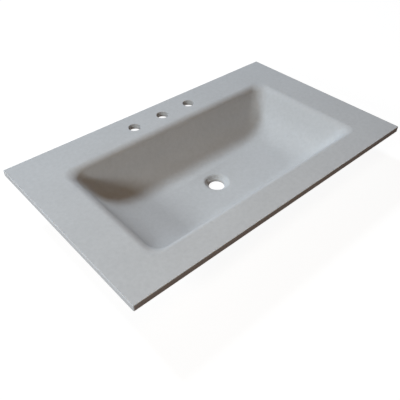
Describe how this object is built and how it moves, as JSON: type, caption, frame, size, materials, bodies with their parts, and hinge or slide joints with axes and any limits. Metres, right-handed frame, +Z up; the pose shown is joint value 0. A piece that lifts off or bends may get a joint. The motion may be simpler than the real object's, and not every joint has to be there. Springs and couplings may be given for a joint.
{
  "type": "vanity sink top",
  "caption": "Rectangular vanity top in matte grey cast concrete, with a slope-sided rectangular basin moulded in, a centre drain and tap holes behind the basin.",
  "frame": {"origin": "middle of the deck in plan, on the plane of the basin's flat underside", "axes": "+X to the right along the width as a person stands at the basin, +Y from the front edge to the wall, +Z up"},
  "size_m": [0.94, 0.559, 0.128],
  "materials": {
    "concrete_face": "matte",
    "concrete_back": "matte",
    "glass_grid": "matte",
    "glass_rod": "satin"
  },
  "bodies": {
    "root": {"face_coat": "concrete_face", "deck_backer": "concrete_back", "basin_backer": "concrete_back", "deck_grid": "glass_grid", "front_wall_grid": "glass_grid", "back_wall_grid": "glass_grid", "left_wall_grid": "glass_grid", "right_wall_grid": "glass_grid", "floor_grid": "glass_grid", "front_rod": "glass_rod", "rear_rod_inner": "glass_rod", "rear_rod_outer": "glass_rod", "left_rod": "glass_rod", "right_rod": "glass_rod"}
  },
  "joints": []
}
